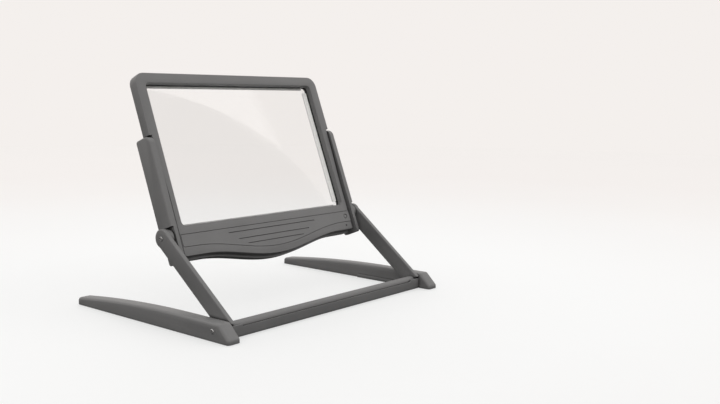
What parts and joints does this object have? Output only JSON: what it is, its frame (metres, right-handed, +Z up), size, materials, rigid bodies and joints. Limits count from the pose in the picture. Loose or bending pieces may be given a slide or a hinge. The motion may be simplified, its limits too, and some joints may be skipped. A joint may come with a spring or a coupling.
{
  "type": "low vision magnifier",
  "caption": "Free-standing full-page reading magnifier: a lit rectangular lens in a tilting frame, on folding arms and a U-shaped base.",
  "frame": {"origin": "on the table, under the middle of the base", "axes": "+X to the reader's right, +Y away from the reader, +Z up"},
  "size_m": [0.366, 0.2656, 0.2739],
  "materials": {
    "shell": "matte",
    "panel": "satin",
    "lens": "polished",
    "diffuser": "satin",
    "steel": "polished",
    "bronze": "satin",
    "rubber": "matte",
    "dark": "satin",
    "lamp_board": "satin",
    "board": "satin",
    "wrap": "gloss"
  },
  "bodies": {
    "base": {"arm_rest_left": "shell", "arm_rest_right": "shell", "base_pin_left": "steel", "base_pin_right": "steel", "crossbar": "shell", "foot_left": "shell", "foot_right": "shell", "pad_front_left": "rubber", "pad_front_right": "rubber", "pad_rear_left": "rubber", "pad_rear_right": "rubber", "pivot_bush_left": "bronze", "pivot_bush_right": "bronze"},
    "lower_arms": {"knuckle_clip_left": "steel", "knuckle_clip_right": "steel", "knuckle_pin_left": "steel", "knuckle_pin_right": "steel", "lower_arm_left": "shell", "lower_arm_right": "shell", "tie_tube": "shell"},
    "upper_arms": {"friction_washer_left": "rubber", "friction_washer_right": "rubber", "upper_arm_left": "shell", "upper_arm_right": "shell"},
    "lens_frame": {"battery_cell_1": "wrap", "battery_cell_2": "wrap", "battery_cell_3": "wrap", "battery_door": "shell", "button_ring": "panel", "contact_plate": "steel", "contact_spring": "steel", "control_board": "board", "control_panel": "panel", "driver_chip": "dark", "front_bezel": "shell", "indicator_lamp": "dark", "led_board_left": "lamp_board", "led_board_right": "lamp_board", "led_cover_left": "diffuser", "led_cover_right": "diffuser", "lens": "lens", "lens_gasket": "rubber", "rear_cover": "shell", "screw_1_left": "steel", "screw_1_right": "steel", "screw_2_left": "steel", "screw_2_right": "steel", "screw_3_left": "steel", "screw_3_right": "steel", "tact_switch": "dark", "tilt_pin_left": "steel", "tilt_pin_right": "steel"},
    "power_button": {"power_button": "panel"}
  },
  "joints": [
    {"name": "base_fold", "type": "hinge", "parent": "base", "child": "lower_arms", "pos_m": [0, -0.1084, 0.0112], "axis": [1, 0, 0], "range_deg": [-31, 9]},
    {"name": "knuckle_fold", "type": "hinge", "parent": "lower_arms", "child": "upper_arms", "pos_m": [0, -0.00416, 0.09235], "axis": [1, 0, 0], "range_deg": [-30.5, 70]},
    {"name": "frame_tilt", "type": "hinge", "parent": "upper_arms", "child": "lens_frame", "pos_m": [0, 0.03327, 0.1896], "axis": [1, 0, 0], "range_deg": [-6, 30]},
    {"name": "power_press", "type": "slide", "parent": "lens_frame", "child": "power_button", "axis": [0, 0.9298, -0.3681], "range_m": [0, 0.0006], "stiffness_N_per_m": 1500}
  ]
}
